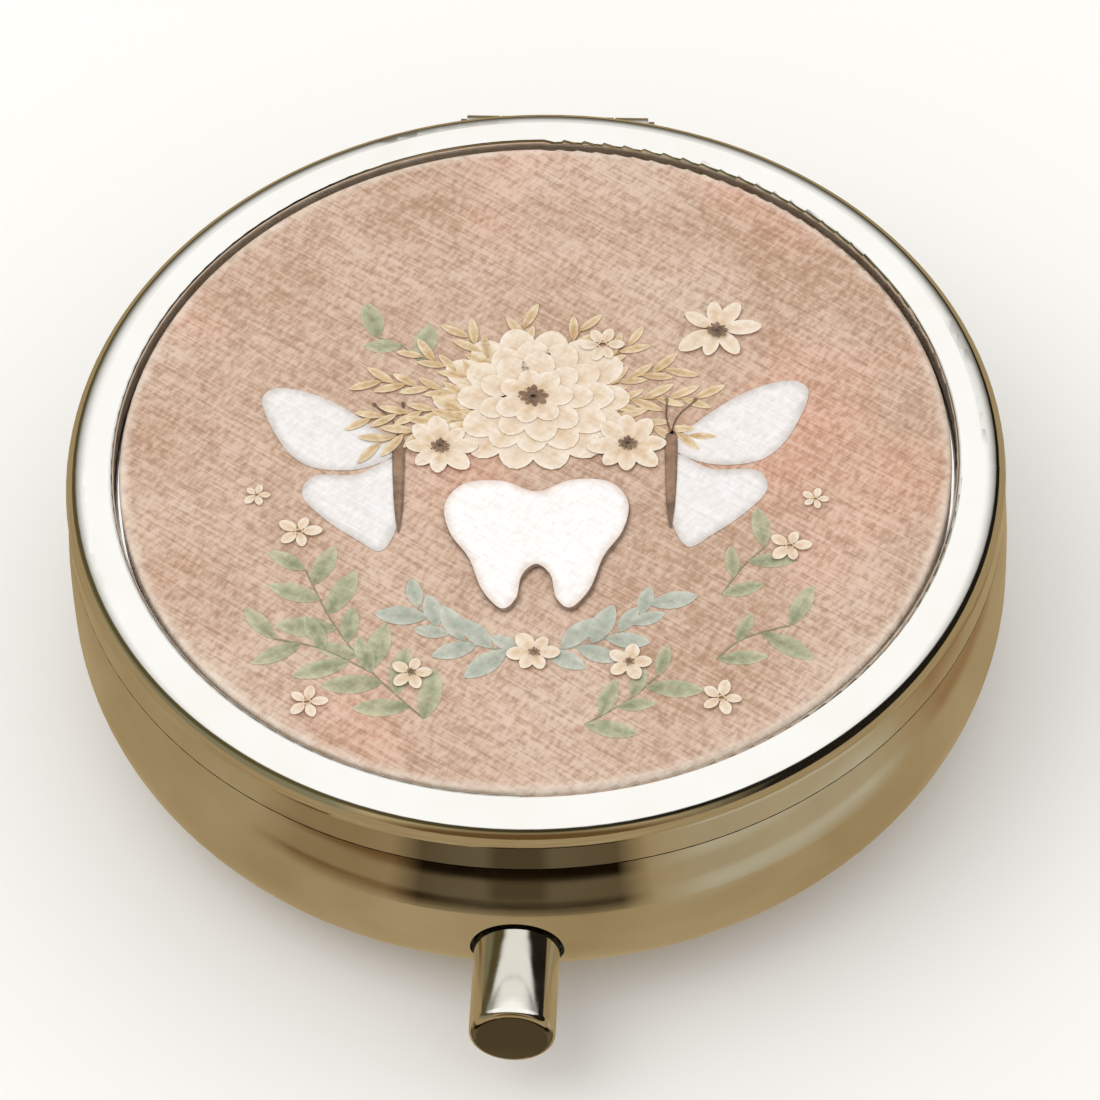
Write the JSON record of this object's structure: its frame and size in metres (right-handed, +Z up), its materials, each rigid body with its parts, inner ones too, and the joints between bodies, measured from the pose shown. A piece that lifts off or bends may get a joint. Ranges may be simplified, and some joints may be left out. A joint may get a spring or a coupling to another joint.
{
  "type": "pill box",
  "caption": "Round flat metal pill box with a push button at the front, a hinged lid with a sunk printed insert, and a moulded tray with compartments.",
  "frame": {"origin": "centre of the round underside, on the plane that the box stands on", "axes": "+Z up through the lid, -Y towards the push button, +Y towards the hinge, +X to the right seen from the button"},
  "size_m": [0.05, 0.0565, 0.0154],
  "materials": {
    "plated_steel": "bright nickel plate on drawn steel",
    "polished_liner": "bright plate, lightly brushed",
    "plated_button": "bright nickel plate on turned steel",
    "printed_insert": "satin print on thin aluminium",
    "adhesive_film": "double-sided film",
    "moulded_tray": "glossy moulded polystyrene",
    "hinge_steel": "plated, lightly brushed",
    "stamped_steel": "stamped sheet, dull plate",
    "spring_steel": "drawn wire",
    "rivet_steel": "bright plate"
  },
  "bodies": {
    "base": {"base_shell": "plated_steel", "base_collar": "plated_steel", "pill_tray": "moulded_tray", "hinge_leaf_base": "hinge_steel", "hinge_rivets_base": "rivet_steel", "hinge_pin": "hinge_steel", "lid_spring": "spring_steel", "latch_bracket": "stamped_steel", "spring_washer": "hinge_steel", "return_spring": "spring_steel"},
    "lid": {"lid_shell": "plated_steel", "insert_adhesive": "adhesive_film", "insert_plate": "printed_insert", "lid_liner": "polished_liner", "lid_catch": "stamped_steel", "hinge_leaf_lid": "hinge_steel", "hinge_rivets_lid": "rivet_steel", "catch_rivets": "rivet_steel"},
    "button": {"push_button": "plated_button", "latch_slide": "stamped_steel", "retaining_clip": "spring_steel"}
  },
  "joints": [
    {"name": "lid_hinge", "type": "hinge", "parent": "base", "child": "lid", "pos_m": [0, 0.0252, 0.0126], "axis": [-1, 0, 0], "range_deg": [0, 100]},
    {"name": "button_press", "type": "slide", "parent": "base", "child": "button", "axis": [0, 1, 0], "range_m": [0, 0.0012], "stiffness_N_per_m": 600, "springref_m": -0.001, "deforming": ["return_spring"]}
  ]
}
